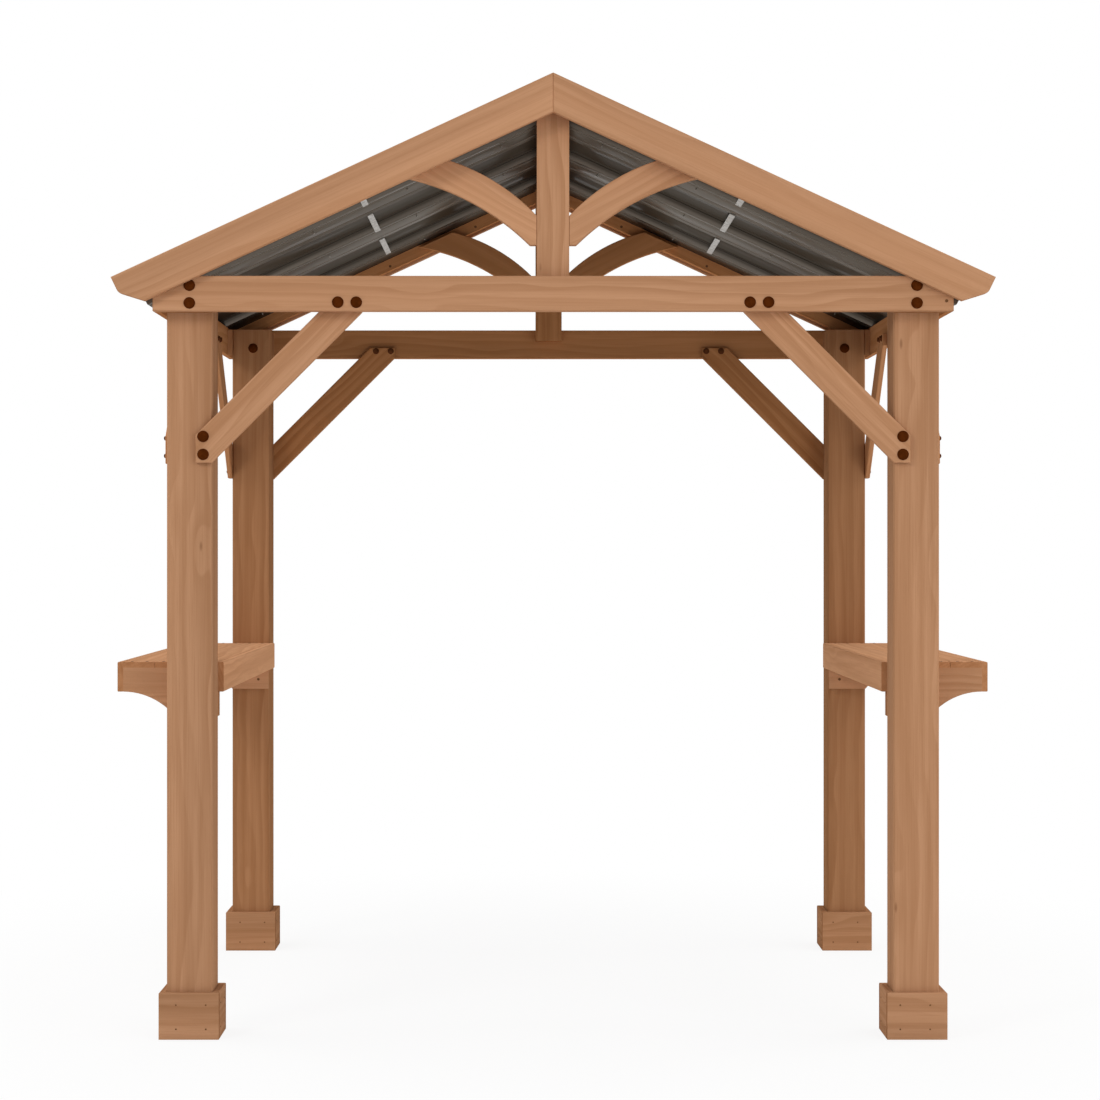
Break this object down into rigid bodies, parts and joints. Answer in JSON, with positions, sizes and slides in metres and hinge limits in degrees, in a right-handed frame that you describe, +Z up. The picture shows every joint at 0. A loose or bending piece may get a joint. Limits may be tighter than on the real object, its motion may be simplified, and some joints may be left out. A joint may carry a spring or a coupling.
{
  "type": "garden gazebo",
  "caption": "Open timber garden gazebo for a grill, with square braced posts, gable trusses with curved struts, a ribbed metal gable roof and a counter-height shelf along each side.",
  "frame": {"origin": "on the ground, in the middle of the plan, below the ridge's midpoint", "axes": "+Z up, +X to the right along the front gable, +Y from the front gable to the back one, along the ridge"},
  "size_m": [2.466, 1.829, 2.6745],
  "materials": {
    "cedar": "stained, satin",
    "roof_metal": "gloss",
    "tie_bar_metal": "satin"
  },
  "bodies": {
    "root": {"back_curved_struts": "cedar", "back_gable_braces": "cedar", "back_king_post": "cedar", "back_left_boot": "cedar", "back_left_post": "cedar", "back_left_rafter": "cedar", "back_left_rake_board": "cedar", "back_right_boot": "cedar", "back_right_post": "cedar", "back_right_rafter": "cedar", "back_right_rake_board": "cedar", "back_tie_beam": "cedar", "beam_packers": "cedar", "front_curved_struts": "cedar", "front_gable_braces": "cedar", "front_king_post": "cedar", "front_left_boot": "cedar", "front_left_post": "cedar", "front_left_rafter": "cedar", "front_left_rake_board": "cedar", "front_right_boot": "cedar", "front_right_post": "cedar", "front_right_rafter": "cedar", "front_right_rake_board": "cedar", "front_tie_beam": "cedar", "left_eave_beam": "cedar", "left_roof_panel_1": "roof_metal", "left_roof_panel_2": "roof_metal", "left_roof_panel_3": "roof_metal", "left_shelf_aprons": "cedar", "left_shelf_boards": "cedar", "left_shelf_corbels": "cedar", "left_side_braces": "cedar", "rib_tie_bars": "tie_bar_metal", "ridge_beam": "cedar", "ridge_cap": "roof_metal", "right_eave_beam": "cedar", "right_roof_panel_1": "roof_metal", "right_roof_panel_2": "roof_metal", "right_roof_panel_3": "roof_metal", "right_shelf_aprons": "cedar", "right_shelf_boards": "cedar", "right_shelf_corbels": "cedar", "right_side_braces": "cedar"}
  },
  "joints": []
}
